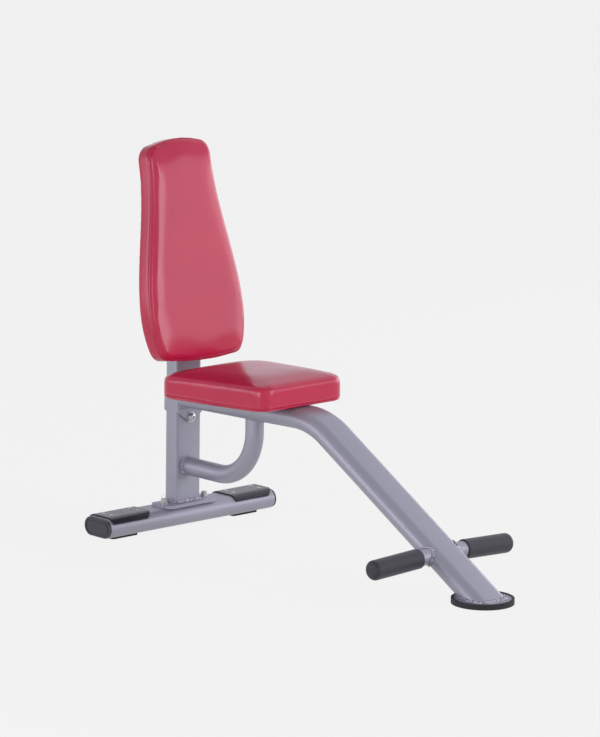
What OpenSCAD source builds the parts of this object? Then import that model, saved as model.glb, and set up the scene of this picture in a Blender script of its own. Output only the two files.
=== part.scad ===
// Upright utility bench: a fixed shoulder-press bench with a seat, a tall
// back pad, a flat-oval foot at the rear and one sloping front leg.
// +X points from the back pad to the front leg, +Y across, +Z up.
// The row origin is under the middle of the bench; inside this file the
// modules work in a frame whose X = 0 is the axis of the foot tube.

/* [Frame tubes] */
// Width of the flat-oval tube
oval_w = 102; // [90:1:110]
// Height of the flat-oval tube
oval_h = 51; // [46:1:56]
// Wall of every tube
wall = 3; // [2:0.5:4]
// Width of the post, across the bench
post_w = 90; // [80:1:96]
// Depth of the post, front to back
post_d = 46; // [40:1:52]
// Corner radius of the post
post_r = 12; // [8:1:14]
// Diameter of the brace tube
brace_d = 48; // [42:1:50]
// Diameter of the peg tube
peg_d = 42; // [34:1:44]

/* [Layout] */
// Length of the foot tube without its caps
foot_len = 571; // [540:1:640]
// Height of the foot tube's axis
foot_z = 34; // [33:0.5:38]
// Height of the rail's axis above the foot's axis line
rail_z = 348; // [340:1:360]
// Rise of the rail and the seat towards the front, in degrees
rail_rise = 1.5; // [0:0.25:3]
// Length of the rail's straight run, up to the knee
rail_l = 432; // [420:1:440]
// Angle of the knee between the rail and the front leg, in degrees
knee_bend = 32.499; // [32:0.001:33]
// Centre-line radius of the knee
knee_r = 210; // [190:5:220]
// Length of the post's upright run, up to its bend
upright_l = 370; // [360:1:380]
// Lean of the back pad, in degrees
recline = 10.6103; // [10:0.0001:11]

/* [Pads] */
// Length of the seat pad
seat_l = 374; // [350:2:390]
// Width of the seat pad at the rear
seat_w_rear = 332; // [300:2:350]
// Width of the seat pad at the front
seat_w_front = 290; // [270:2:320]
// Thickness of the seat pad at its edge
seat_h = 62; // [54:1:70]
// Length of the back pad
back_l = 583; // [560:1:600]
// Greatest width of the back pad
back_w = 324; // [300:2:340]
// Width of the back pad near its top
back_w_top = 210; // [190:2:230]
// Thickness of the back pad at its edge
back_h = 52; // [48:1:62]

/* [Hidden] */
$fn = 64;

bolt_d = 12;            // M12 frame bolts
bolt_hole = 13;
pad_bolt_d = 8;         // M8 pad bolts
pad_bolt_hole = 9;
plate_t = 8;            // base plate, rail flange and backing plate
washer_t = 2.5;

// foot
foot_top = foot_z + oval_h / 2;
foot_bottom = foot_z - oval_h / 2;
cap_flange = 6;
cover_t = 4;
cover_len = 138;
cover_start = [-278, 147];              // the two covers are the same part
cover_reach = 50.6;                     // half width of a cover
cover_low = 47.5;                       // height of its lower edges
cover_r = [6, 30];                      // its corners at both ends
rivet_x = 15;
rivet_y = [21, 112];
rear_pad = [38, 88, foot_bottom];
rear_pad_y = 210;

// post and its base plate
post_x = 2;
post_front = post_x + post_d / 2;
post_rear = post_x - post_d / 2;
plate_y = 172;
plate_front = 48;
plate_top = foot_top + plate_t;
base_bolt_x = 8;
base_bolt_y = 70;
base_bolt_d = 10;                       // M10 cap screws
base_bolt_hole = 11;
lean_r = 150;
lean_z = plate_top + upright_l + lean_r * tan(recline / 2);
lean_l = 274;                           // length of the leaning run
lean_top = lean_l + lean_r * tan(recline / 2);

// rail, knee and leg
flange_front = post_front + plate_t;
function rail_at(x) = rail_z + x * tan(rail_rise);
rail_start = flange_front - 6;           // the run begins inside the weld
rail_reach = rail_l + knee_r * tan(knee_bend / 2);
knee_x = rail_start + rail_reach * cos(rail_rise);
knee_z = rail_at(rail_start) + rail_reach * sin(rail_rise);
leg_slope = knee_bend - rail_rise;
leg_l = 690;                            // runs on below the foot disc, then cut
flange_bolt = 56;                       // bolts above and below the rail's axis
flange_tip_r = 13;
flange_z = rail_at(flange_front);

// front foot
cup_floor = 6.4;
disc_t = 6;
disc_top = cup_floor + disc_t;
disc_d = 142;
cup_d = 156;
cup_rim = 13.6;                         // stands round the disc's edge
disc_x = knee_x + (knee_z - disc_top) / tan(leg_slope) + 4;

// brace
brace_z = 161;
brace_x = 278;
brace_r = 130;
brace_up = 70;                          // its straight run up into the rail

// pegs
peg_x = 958;
peg_z = knee_z - (peg_x - knee_x) * tan(leg_slope);
peg_droop = 2.4;
peg_l = 228;
grip_start = 78;
grip_l = 162;
grip_d = 50;

// pads
board_t = 15;
board_in = 8;
seat_x = 279;
seat_plate = [50, 240, 3.5];
seat_plate_x = 105;
seat_bolt_y = 88;
seat_r = 44;
seat_crown = 14;
bracket_t = 5;
bracket = [60, 190];
bracket_v = [64, 246];
back_bolt_y = 68;
back_low = -17;                         // bottom edge, along the lean from lean_z
back_crown = 8;
back_widest = 138;
back_narrow = 523;

// the bench reaches from the back pad's top edge to the front cup; the edge
// ends 1.3 short of the pad's full length because its corner is broken
rear_reach = post_x + (post_d / 2 + bracket_t) * cos(recline)
    - (back_low + back_l - 1.3) * sin(recline);
front_reach = disc_x + cup_d / 2;
x_mid = (rear_reach + front_reach) / 2;

// ---- outlines -----------------------------------------------------------

// flat oval: half-round ends along the first axis
module oval(w, h) {
    square([w - h, h], center = true);
    for (s = [-1, 1]) translate([s * (w - h) / 2, 0]) circle(d = h);
}

// rectangle with round corners
module round_rect(a, b, r) {
    square([a - 2 * r, b], center = true);
    square([a, b - 2 * r], center = true);
    for (x = [-1, 1], y = [-1, 1])
        translate([x * (a / 2 - r), y * (b / 2 - r)]) circle(r);
}

// plate with a rounded bolt tip above and below a wide middle, as [y, z]
module tipped_plate() {
    half = post_w / 2;
    waist = 40;
    span = [half, flange_bolt - waist];
    a = atan2(span.y, span.x) - acos(flange_tip_r / norm(span));
    polygon(concat([[half, -waist], [half, waist]], tip_points(1, -a),
        [[-half, waist], [-half, -waist]], tip_points(-1, -a)));
}
// arc round the upper (s = 1) or lower (s = -1) bolt, from a to 180 - a
function tip_points(s, a) = [for (k = [0:8])
    let (t = a + (180 - 2 * a) * k / 8 + (s < 0 ? 180 : 0))
    [0, s * flange_bolt] + flange_tip_r * [cos(t), sin(t)]];

// mirrors its children across the bench's middle plane when s is -1
module scale_y(s) {
    if (s < 0) mirror([0, 1]) children();
    else children();
}

// ---- shared solids ------------------------------------------------------

// triangular weld bead round a rounded rectangle a x b, standing on z = 0
module weld_ring(a, b, r, s) {
    bead = [[0, 0], [s, 0], [0, s]];
    for (k = [0:3]) {
        long = k % 2 == 0 ? b : a;
        off = k % 2 == 0 ? a : b;
        rotate(90 * k) {
            if (long > 2 * r) translate([off / 2, long / 2 - r, 0])
                rotate([90, 0, 0]) linear_extrude(long - 2 * r) polygon(bead);
            translate([off / 2 - r, long / 2 - r, 0])
                rotate_extrude(angle = 90) translate([r, 0]) polygon(bead);
        }
    }
}

// hex head with its washer face, standing on z = 0
module hex_head(flats, h) {
    cylinder(d = flats / cos(30), h = h, $fn = 6);
}

// button head with a hex socket, standing on z = 0
module button_head(d, h, socket) {
    difference() {
        intersection() {
            cylinder(d = d, h = h);
            translate([0, 0, h - d * 0.72]) sphere(d * 0.72);
        }
        translate([0, 0, h - 3]) cylinder(d = socket / cos(30), h = 4, $fn = 6);
    }
}

module washer(d, hole, h) {
    difference() {
        cylinder(d = d, h = h);
        translate([0, 0, -1]) cylinder(d = hole, h = h + 2);
    }
}

// solid along the foot's axis between two Y values
module along_y(y0, y1) {
    translate([0, y1, 0]) rotate([90, 0, 0]) linear_extrude(y1 - y0) children();
}

// ---- paths of the bent tubes --------------------------------------------

// outline of a flat oval as points [across, thickness]
arc_steps = 20;
function oval_points(w, h) = [for (side = [1, -1], k = [0:arc_steps])
    let (t = side * (180 * k / arc_steps - 90))
    [side * ((w - h) / 2 + h / 2 * cos(t)), side * h / 2 * sin(side * t)]];

// the rail's path as [x, z, slope]: the flange, the knee's steps, the disc
knee_steps = 12;
function along(p, slope, d) = p + d * [cos(slope), sin(slope)];
function across(p, slope, d) = p + d * [-sin(slope), cos(slope)];
rail_p0 = [rail_start, rail_at(rail_start)];
knee_p0 = along(rail_p0, rail_rise, rail_l);
knee_c = across(knee_p0, rail_rise, -knee_r);
function knee_at(a) = across(knee_c, rail_rise - a, knee_r);
leg_end = along(knee_at(knee_bend), -leg_slope, leg_l);
rail_rings = concat([concat(rail_p0, rail_rise)],
    [for (k = [0:knee_steps]) let (a = knee_bend * k / knee_steps)
        concat(knee_at(a), rail_rise - a)],
    [concat(leg_end, -leg_slope)]);

// one ring of points; the first is cut on the flange and the last on the disc
function ring_points(i, outline) = let (r = rail_rings[i], last = len(rail_rings) - 1)
    [for (p = outline) let (q = across([r.x, r.y], r.z, p.y),
        d = i == 0 ? (flange_front - q.x) / cos(r.z)
            : i == last ? (disc_top - q.y) / sin(r.z) : 0,
        e = along(q, r.z, d)) [e.x, p.x, e.y]];

// rail, knee and leg: one bent flat-oval tube, hollow from end to end
module bent_tube() {
    outer = oval_points(oval_w, oval_h);
    inner = oval_points(oval_w - 2 * wall, oval_h - 2 * wall);
    n = len(outer);
    rings = len(rail_rings);
    points = concat([for (i = [0:rings - 1]) each ring_points(i, outer)],
        [for (i = [0:rings - 1]) each ring_points(i, inner)]);
    skin = [for (i = [0:rings - 2], k = [0:n - 1])
        [i * n + k, i * n + (k + 1) % n,
            (i + 1) * n + (k + 1) % n, (i + 1) * n + k]];
    bore = [for (f = skin) [for (k = [3:-1:0]) f[k] + rings * n]];
    start = [for (k = [0:n - 1])
        [k, k + rings * n, (k + 1) % n + rings * n, (k + 1) % n]];
    end = [for (f = start) [for (k = [3:-1:0]) f[k] + (rings - 1) * n]];
    polyhedron(points, concat(skin, bore, start, end));
}

// solid straight runs of the same tube, which cut what is welded to it
module rail_run(w, h) {
    translate([rail_start, 0, rail_at(rail_start)]) rotate([0, 90 - rail_rise, 0])
        linear_extrude(rail_l) rotate(90) oval(w, h);
}
module leg_run(w, h) {
    translate([leg_end.x, 0, leg_end.y]) rotate([0, leg_slope - 90, 0])
        linear_extrude(leg_l) rotate(90) oval(w, h);
}

// brace: forward from the post, then up to the rail
module brace_solid(d, over = 0) {
    translate([brace_x - brace_r, 0, brace_z]) {
        rotate([0, -90, 0])
            cylinder(d = d, h = brace_x - brace_r - post_front + over);
        translate([0, 0, brace_r]) {
            rotate([90, 0, 0]) rotate(-90) rotate_extrude(angle = 90)
                translate([brace_r, 0]) circle(d = d);
            translate([brace_r, 0, 0]) cylinder(d = d, h = brace_up + over);
        }
    }
}

// post: upright, bent back, then leaning
module post_path() {
    translate([post_x, 0, plate_top]) {
        linear_extrude(upright_l) children();
        translate([-lean_r, 0, upright_l]) {
            rotate([90, 0, 0]) rotate_extrude(angle = recline)
                translate([lean_r, 0]) children();
            rotate([0, -recline, 0]) translate([lean_r, 0, 0])
                linear_extrude(lean_l) children();
        }
    }
}

// frame of the leaning part: x forward off the post's front, z up the lean
module on_lean() {
    translate([post_x, 0, lean_z]) rotate([0, -recline, 0])
        translate([post_d / 2, 0, 0]) children();
}

// frame of the rail's top face: x along the rail, z up, under the seat's middle
module on_rail() {
    translate([seat_x, 0, rail_at(seat_x)]) rotate([0, -rail_rise, 0])
        translate([0, 0, oval_h / 2]) children();
}

// ---- pads ---------------------------------------------------------------

// closed pad from rings [inset, height] of one outline, capped at both ends
module pad_loft(outline, half, levels) {
    n = len(outline);
    last = len(levels) - 1;
    points = [for (lv = levels, p = outline)
        [p.x * (1 - lv[0] / half.x), p.y * (1 - lv[0] / half.y), lv[1]]];
    sides = [for (k = [0:last - 1], i = [0:n - 1])
        [(k + 1) * n + i, (k + 1) * n + (i + 1) % n,
            k * n + (i + 1) % n, k * n + i]];
    low = [for (i = [0:n - 1]) i];
    high = [for (i = [n - 1:-1:0]) last * n + i];
    polyhedron(points, concat([low], [high], sides));
}

function arc(c, r, a0, steps = 6) =
    [for (k = [0:steps]) c + r * [cos(a0 + 90 * k / steps),
        sin(a0 + 90 * k / steps)]];

// seat outline as [x, y], wider at the rear
function seat_outline(inset = 0) =
    let (l = seat_l / 2 - inset, r = seat_r - inset,
        wf = seat_w_front / 2 - inset, wr = seat_w_rear / 2 - inset)
    concat(arc([l - r, wf - r], r, 0), arc([r - l, wr - r], r, 90),
        arc([r - l, r - wr], r, 180), arc([l - r, r - wf], r, 270));

// half width of the back pad at height v above its bottom edge
function back_half(v) =
    v < back_widest
    ? back_w / 2 - 0.0018 * pow(back_widest - v, 2)
    : let (t = max(0, min(1, (back_narrow - v) / (back_narrow - back_widest))))
        back_w_top / 2 + (back_w - back_w_top) / 2 * t * t * (3 - 2 * t);

// back outline as [v measured from mid length, y]: a superellipse at the lower
// end, round corners and a slight arch at the top
low_end = [45, 0.8];
top_r = 36;
top_arch = 5;
function back_side() = let (a = back_w_top / 2 - top_r) concat(
    [for (t = [10:16:90]) let (v = low_end[0] * (1 - pow(cos(t), low_end[1])))
        [v, back_half(v) * pow(sin(t), low_end[1])]],
    [for (k = [1:11]) let (v = low_end[0]
        + (back_l - low_end[0] - top_r - top_arch) * k / 12) [v, back_half(v)]],
    [for (t = [0:15:75]) [back_l - top_arch - top_r * (1 - sin(t)),
        a + top_r * cos(t)]],
    [for (k = [4:-1:1]) [back_l - top_arch * pow(k / 4, 2), a * k / 4]]);
function back_outline(inset = 0) =
    let (k = [1 - 2 * inset / back_l, 1 - 2 * inset / back_w],
        side = back_side())
    concat([for (p = side) [(p[0] - back_l / 2) * k[0], p[1] * k[1]]],
        [for (i = [len(side) - 1:-1:0])
            [(side[i][0] - back_l / 2) * k[0], -side[i][1] * k[1]]]);

// frame of the back pad: x up the pad from its middle, z out of its face
module on_back() {
    on_lean() translate([bracket_t, 0, back_low + back_l / 2])
        rotate([0, -90, 0]) mirror([0, 0, 1]) children();
}

// ---- rear foot ----------------------------------------------------------

module foot_tube() {
    color("#9b98a6") difference() {
        translate([0, 0, foot_z]) along_y(-foot_len / 2, foot_len / 2)
            difference() {
                oval(oval_w, oval_h);
                oval(oval_w - 2 * wall, oval_h - 2 * wall);
            }
        for (s = [-1, 1]) {
            translate([base_bolt_x, s * base_bolt_y, foot_z])
                cylinder(d = base_bolt_hole, h = oval_h);
            for (y = [-30, 30]) translate([0, s * rear_pad_y + y, 0])
                cylinder(d = 5, h = foot_z);
        }
        for (y0 = cover_start, x = [-1, 1], y = rivet_y)
            translate([x * rivet_x, y0 + y, foot_z])
                cylinder(d = 4.8, h = oval_h);
    }
}

module foot_end_cap(s) {
    color("#37353c") scale_y(s) {
        translate([0, 0, foot_z]) {
            difference() {
                along_y(foot_len / 2, foot_len / 2 + cap_flange)
                    oval(oval_w - 2, oval_h - 2);
                along_y(foot_len / 2 + cap_flange - 1.2, foot_len)
                    difference() {
                        oval(oval_w - 14, oval_h - 14);
                        oval(oval_w - 22, oval_h - 22);
                    }
            }
            along_y(foot_len / 2 - 18, foot_len / 2) difference() {
                oval(oval_w - 2 * wall, oval_h - 2 * wall);
                oval(oval_w - 2 * wall - 5, oval_h - 2 * wall - 5);
            }
        }
    }
}

module anti_slip_cover(y0) {
    color("#3a3840") difference() {
        intersection() {
            translate([0, 0, foot_z]) along_y(y0, y0 + cover_len)
                oval(oval_w + 2 * cover_t, oval_h + 2 * cover_t);
            translate([0, y0, cover_low]) linear_extrude(foot_top) {
                translate([-cover_reach, cover_r[0]]) square([2 * cover_reach,
                    cover_len - cover_r[0] - cover_r[1]]);
                for (end = [0, 1]) let (r = cover_r[end], x = cover_reach - r) {
                    translate([-x, end * (cover_len - r)]) square([2 * x, r]);
                    for (s = [-1, 1]) translate([s * x,
                        end * cover_len + (1 - 2 * end) * r]) circle(r);
                }
            }
        }
        for (x = [-1, 1], y = rivet_y)
            translate([x * rivet_x, y0 + y, foot_z])
                cylinder(d = 4.8, h = oval_h);
        translate([0, 0, foot_z]) along_y(y0 - 1, y0 + cover_len + 1)
            oval(oval_w, oval_h);
    }
}

module cover_rivets(y0) {
    color("#b9b7c0") for (x = [-1, 1], y = rivet_y)
        translate([x * rivet_x, y0 + y, foot_top - 2 * wall]) {
            cylinder(d = 4.8, h = 2 * wall + cover_t);
            translate([0, 0, 2 * wall + cover_t]) intersection() {
                cylinder(d = 10, h = 2.4);
                translate([0, 0, 2.4 - 7]) sphere(7);
            }
        }
}

module rear_rubber_pad(s) {
    color("#1c1b1f") translate([0, s * rear_pad_y, 0]) difference() {
        linear_extrude(rear_pad.z) round_rect(rear_pad.x, rear_pad.y, 8);
        for (y = [-30, 30]) translate([0, y, -1]) {
            cylinder(d = 5, h = 20);
            cylinder(d = 10, h = 4.5);
        }
    }
}

module rear_pad_screws() {
    color("#8f8d96") for (s = [-1, 1], y = [-30, 30])
        translate([0, s * rear_pad_y + y, 0.8]) {
            translate([0, 0, 2.7]) cylinder(d = 5, h = 14);
            cylinder(d = 10, h = 2.7);
        }
}

module foot_nut_bar() {
    color("#7f7d86") difference() {
        translate([base_bolt_x - 14, -plate_y / 2, foot_top - wall - 10])
            cube([28, plate_y, 10]);
        for (s = [-1, 1]) translate([base_bolt_x, s * base_bolt_y, 0])
            cylinder(d = base_bolt_d, h = 100);
    }
}

// ---- post ---------------------------------------------------------------

module post_base_plate() {
    r = 18;
    color("#9b98a6") translate([0, 0, foot_top]) difference() {
        linear_extrude(plate_t) {
            translate([post_rear, -plate_y / 2])
                square([plate_front - post_rear - r, plate_y]);
            translate([post_rear, r - plate_y / 2])
                square([plate_front - post_rear, plate_y - 2 * r]);
            for (s = [-1, 1]) translate([plate_front - r,
                s * (plate_y / 2 - r)]) circle(r);
        }
        for (s = [-1, 1]) translate([base_bolt_x, s * base_bolt_y, -1])
            cylinder(d = base_bolt_hole, h = plate_t + 2);
    }
}

module base_bolts() {
    color("#c8bdb6") for (s = [-1, 1])
        translate([base_bolt_x, s * base_bolt_y, plate_top + washer_t]) {
            difference() {
                cylinder(d = 16, h = 10);
                translate([0, 0, 5]) cylinder(d = 8 / cos(30), h = 6, $fn = 6);
            }
            translate([0, 0, -28]) cylinder(d = base_bolt_d, h = 28);
        }
}

module base_washers() {
    color("#b5b1b8") for (s = [-1, 1])
        translate([base_bolt_x, s * base_bolt_y, plate_top])
            washer(21, base_bolt_hole, washer_t);
}

module post_tube() {
    color("#9b98a6") difference() {
        post_path() difference() {
            round_rect(post_d, post_w, post_r);
            round_rect(post_d - 2 * wall, post_w - 2 * wall, post_r - wall);
        }
        for (s = [-1, 1]) translate([post_x, 0, flange_z + s * flange_bolt])
            rotate([0, 90, 0])
            cylinder(d = bolt_hole, h = post_d + 2, center = true);
    }
}

module post_base_weld() {
    color("#a9a7b2") translate([post_x, 0, plate_top])
        intersection() {
            weld_ring(post_d, post_w, post_r, 5);
            translate([-post_d / 2, -100, -1]) cube([200, 200, 20]);
        }
}

module post_top_cap() {
    color("#37353c") translate([post_x, 0, lean_z]) rotate([0, -recline, 0])
        translate([0, 0, lean_top]) {
            linear_extrude(3) round_rect(post_d - 1, post_w - 1, post_r - 0.5);
            translate([0, 0, -16]) linear_extrude(16) difference() {
                round_rect(post_d - 2 * wall, post_w - 2 * wall, post_r - wall);
                round_rect(post_d - 4 * wall, post_w - 4 * wall, post_r - 6);
            }
        }
}

// ---- rail joint ---------------------------------------------------------

module joint_plate(x0) {
    translate([x0, 0, flange_z]) rotate([90, 0, 90]) difference() {
        linear_extrude(plate_t) tipped_plate();
        for (s = [-1, 1]) translate([0, s * flange_bolt, -1])
            cylinder(d = bolt_hole, h = plate_t + 2);
    }
}

module rail_flange() { color("#9b98a6") joint_plate(post_front); }

module flange_backing_plate() {
    color("#9b98a6") joint_plate(post_rear - plate_t);
}

module flange_weld() {
    color("#a9a7b2") difference() {
        translate([rail_start, 0, rail_at(rail_start)]) rotate([0, -rail_rise, 0])
            translate([4.5, 0, 0]) rotate([90, 0, 90])
            weld_ring(oval_w, oval_h, oval_h / 2, 6.5);
        translate([post_front, -100, flange_z - 60])
            cube([plate_t, 200, 120]);
        for (y = [44, -84]) translate([post_front, y, flange_z - 60])
            cube([40, 40, 120]);
    }
}

module flange_bolts() {
    grip = post_d + 2 * plate_t + 2 * washer_t;
    color("#c4c2ca") for (s = [-1, 1])
        translate([flange_front + washer_t, 0, flange_z + s * flange_bolt])
            rotate([0, 90, 0]) {
                button_head(22, 7, 8);
                translate([0, 0, -grip - 14]) cylinder(d = bolt_d, h = grip + 14);
            }
}

module flange_washers() {
    color("#c4c2ca") for (s = [-1, 1], x = [flange_front,
        post_rear - plate_t - washer_t])
        translate([x, 0, flange_z + s * flange_bolt])
            rotate([0, 90, 0]) washer(28, bolt_hole, washer_t);
}

module flange_nuts() {
    color("#8f8d96") for (s = [-1, 1])
        translate([post_rear - plate_t - washer_t, 0,
            flange_z + s * flange_bolt]) rotate([0, -90, 0]) difference() {
                hex_head(18, 10);
                translate([0, 0, -1]) cylinder(d = bolt_d, h = 12);
            }
}

// ---- rail, leg and brace ------------------------------------------------

module rail_leg_tube() {
    color("#9b98a6") bent_tube();
}

module brace_tube() {
    color("#9b98a6") difference() {
        brace_solid(brace_d, 10);
        brace_solid(brace_d - 2 * wall, 12);
        rail_run(oval_w, oval_h);
        translate([post_front - 40, -50, brace_z - 50]) cube([40, 100, 100]);
    }
}

module brace_post_weld() {
    color("#a9a7b2") difference() {
        translate([post_front, 0, brace_z]) rotate([0, 90, 0])
            rotate_extrude() translate([brace_d / 2 - 2, 0])
            polygon([[0, 0], [6, 0], [2, 4], [0, 4]]);
        brace_solid(brace_d, 10);
    }
}

module brace_rail_weld() {
    color("#a9a7b2") difference() {
        translate([brace_x, 0, rail_at(brace_x)]) rotate([0, -rail_rise, 0])
            translate([0, 0, -oval_h / 2]) rotate([180, 0, 0])
            rotate_extrude() translate([brace_d / 2 - 2, 0])
            polygon([[0, 0], [6, 0], [2, 4], [0, 4]]);
        brace_solid(brace_d, 10);
        rail_run(oval_w, oval_h);
    }
}

// ---- pegs ---------------------------------------------------------------

// frame of a peg: z outwards along its axis
module on_peg(s) {
    scale_y(s) translate([peg_x, 0, peg_z]) rotate([-90 - peg_droop, 0, 0])
        children();
}

module peg(s) {
    color("#a3a1ad") difference() {
        on_peg(s) {
            difference() {
                cylinder(d = peg_d, h = peg_l);
                translate([0, 0, -1]) cylinder(d = peg_d - 2 * wall,
                    h = peg_l + 2);
            }
        }
        leg_run(oval_w, oval_h);
    }
}

module peg_weld(s) {
    color("#a9a7b2") difference() {
        intersection() {
            on_peg(s) translate([0, 0, 38])
                cylinder(d = peg_d + 9, h = 42);
            leg_run(oval_w + 8, oval_h + 8);
        }
        leg_run(oval_w, oval_h);
        on_peg(s) cylinder(d = peg_d, h = 90);
    }
}

module peg_grip(s) {
    dome = 14;
    color("#3f3c47") on_peg(s) translate([0, 0, grip_start]) difference() {
        rotate_extrude() {
            square([grip_d / 2 - 2, grip_l - dome]);
            translate([0, 2]) square([grip_d / 2, grip_l - dome - 2]);
            translate([grip_d / 2 - 2, 2]) circle(2, $fn = 24);
            translate([0, grip_l - dome]) square([grip_d / 2 - dome, dome]);
            intersection() {
                translate([grip_d / 2 - dome, grip_l - dome]) circle(dome);
                square([grip_d, grip_l]);
            }
        }
        translate([0, 0, -1]) cylinder(d = peg_d, h = peg_l - grip_start + 1);
    }
}

// ---- front foot ---------------------------------------------------------

module front_foot_disc() {
    color("#9b98a6") translate([disc_x, 0, cup_floor]) difference() {
        cylinder(d = disc_d, h = disc_t);
        for (s = [-1, 1]) translate([0, 25 * s, -1]) cylinder(d = 5, h = 10);
    }
}

module disc_weld() {
    color("#a9a7b2") difference() {
        intersection() {
            leg_run(oval_w + 10, oval_h + 6);
            translate([disc_x - 90, -90, disc_top]) cube([180, 180, 4]);
        }
        leg_run(oval_w, oval_h);
    }
}

module front_rubber_cup() {
    color("#1c1b1f") translate([disc_x, 0, 0]) difference() {
        cylinder(d = cup_d, h = cup_rim);
        translate([0, 0, cup_floor]) cylinder(d = disc_d, h = 10);
        for (s = [-1, 1]) translate([0, 25 * s, -1]) {
            cylinder(d = 5, h = 20);
            cylinder(d = 10, h = 4);
        }
    }
}

module front_foot_screws() {
    color("#8f8d96") for (s = [-1, 1]) translate([disc_x, 25 * s, 0.6]) {
        cylinder(d = 10, h = 2.4);
        translate([0, 0, 2.4]) cylinder(d = 5, h = disc_top - 3);
    }
}

// ---- seat ---------------------------------------------------------------

module seat_plate(x) {
    color("#9b98a6") on_rail() translate([x, 0, 0]) difference() {
        linear_extrude(seat_plate.z)
            round_rect(seat_plate.x, seat_plate.y, 8);
        for (s = [-1, 1]) translate([0, s * seat_bolt_y, -1])
            cylinder(d = pad_bolt_hole, h = 10);
    }
}

module seat_bolts() {
    color("#8f8d96") on_rail()
        for (x = [-seat_plate_x, seat_plate_x], s = [-1, 1])
            translate([x, s * seat_bolt_y, 0]) {
                translate([0, 0, -5.5]) hex_head(13, 5.5);
                cylinder(d = pad_bolt_d, h = seat_plate.z + board_t - 2);
            }
}

// tee nut sunk in the top of a board, with the barrel down its hole
module tee_nut() {
    difference() {
        union() {
            translate([0, 0, -1.5]) cylinder(d = 20, h = 1.5);
            translate([0, 0, -9]) cylinder(d = 10, h = 9);
        }
        translate([0, 0, -20]) cylinder(d = pad_bolt_d, h = 30);
    }
}

// hole for a bolt and a tee nut through a board
module tee_nut_hole() {
    translate([0, 0, -30]) cylinder(d = pad_bolt_hole, h = 31);
    translate([0, 0, -9]) cylinder(d = 10, h = 10);
    translate([0, 0, -1.5]) cylinder(d = 20, h = 3);
}

module seat_tee_nuts() {
    color("#8f8d96") on_rail()
        for (x = [-seat_plate_x, seat_plate_x], s = [-1, 1])
            translate([x, s * seat_bolt_y, seat_plate.z + board_t]) tee_nut();
}

module seat_board() {
    color("#b08d5f") on_rail() translate([0, 0, seat_plate.z]) difference() {
        linear_extrude(board_t) polygon(seat_outline(board_in));
        for (x = [-seat_plate_x, seat_plate_x], s = [-1, 1])
            translate([x, s * seat_bolt_y, board_t]) tee_nut_hole();
    }
}

module seat_cushion() {
    half = [seat_l / 2, seat_w_rear / 2];
    color("#c2566c") on_rail() translate([0, 0, seat_plate.z]) difference() {
        pad_loft(seat_outline(), half, [[1, 0], [0, 3], [0, seat_h - 14],
            [2, seat_h - 6], [8, seat_h], [26, seat_h + seat_crown * 0.4],
            [60, seat_h + seat_crown * 0.75], [110, seat_h + seat_crown]]);
        translate([0, 0, -1]) linear_extrude(board_t + 1)
            polygon(seat_outline(board_in));
    }
}

// ---- back ---------------------------------------------------------------

module back_bracket(v) {
    color("#9b98a6") on_lean() translate([0, 0, v]) rotate([0, 90, 0])
        difference() {
            linear_extrude(bracket_t) round_rect(bracket.x, bracket.y, 8);
            for (s = [-1, 1]) translate([0, s * back_bolt_y, -1])
                cylinder(d = pad_bolt_hole, h = 10);
        }
}

// frame of one pad bolt: z forward, from the front face of a bracket
module at_back_bolts() {
    for (v = bracket_v, s = [-1, 1]) on_lean()
        translate([bracket_t, s * back_bolt_y, v]) rotate([0, 90, 0])
        children();
}

module back_bolts() {
    color("#8f8d96") at_back_bolts() {
        translate([0, 0, -bracket_t - 5.5]) hex_head(13, 5.5);
        translate([0, 0, -bracket_t])
            cylinder(d = pad_bolt_d, h = bracket_t + board_t - 2);
    }
}

module back_tee_nuts() {
    color("#8f8d96") at_back_bolts() translate([0, 0, board_t]) tee_nut();
}

module back_board() {
    color("#b08d5f") difference() {
        on_back() linear_extrude(board_t) polygon(back_outline(board_in));
        at_back_bolts() translate([0, 0, board_t]) tee_nut_hole();
    }
}

module back_cushion() {
    half = [back_l / 2, back_w / 2];
    color("#c2566c") on_back() difference() {
        pad_loft(back_outline(), half, [[1, 0], [0, 3], [0, back_h - 12],
            [2, back_h - 4], [7, back_h], [24, back_h + back_crown * 0.5],
            [56, back_h + back_crown * 0.85], [96, back_h + back_crown]]);
        translate([0, 0, -1]) linear_extrude(board_t + 1)
            polygon(back_outline(board_in));
    }
}

// ---- the bench ----------------------------------------------------------

translate([-x_mid, 0, 0]) {
    foot_tube();
    foot_end_cap(1);  // foot_end_cap_left
    foot_end_cap(-1);  // foot_end_cap_right
    anti_slip_cover(cover_start[1]);  // anti_slip_cover_left
    anti_slip_cover(cover_start[0]);  // anti_slip_cover_right
    cover_rivets(cover_start[1]);  // cover_rivets_left
    cover_rivets(cover_start[0]);  // cover_rivets_right
    rear_rubber_pad(1);  // rear_rubber_pad_left
    rear_rubber_pad(-1);  // rear_rubber_pad_right
    rear_pad_screws();
    foot_nut_bar();
    post_base_plate();
    base_bolts();
    base_washers();
    post_tube();
    post_base_weld();
    post_top_cap();
    rail_flange();
    flange_weld();
    flange_backing_plate();
    flange_bolts();
    flange_washers();
    flange_nuts();
    rail_leg_tube();
    brace_tube();
    brace_post_weld();
    brace_rail_weld();
    seat_plate(-seat_plate_x);  // seat_plate_rear
    seat_plate(seat_plate_x);  // seat_plate_front
    seat_bolts();
    seat_tee_nuts();
    seat_board();
    seat_cushion();
    back_bracket(bracket_v[0]);  // back_bracket_lower
    back_bracket(bracket_v[1]);  // back_bracket_upper
    back_bolts();
    back_tee_nuts();
    back_board();
    back_cushion();
    peg(1);  // peg_left
    peg(-1);  // peg_right
    peg_weld(1);  // peg_weld_left
    peg_weld(-1);  // peg_weld_right
    peg_grip(1);  // peg_grip_left
    peg_grip(-1);  // peg_grip_right
    front_foot_disc();
    disc_weld();
    front_rubber_cup();
    front_foot_screws();
}
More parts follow.
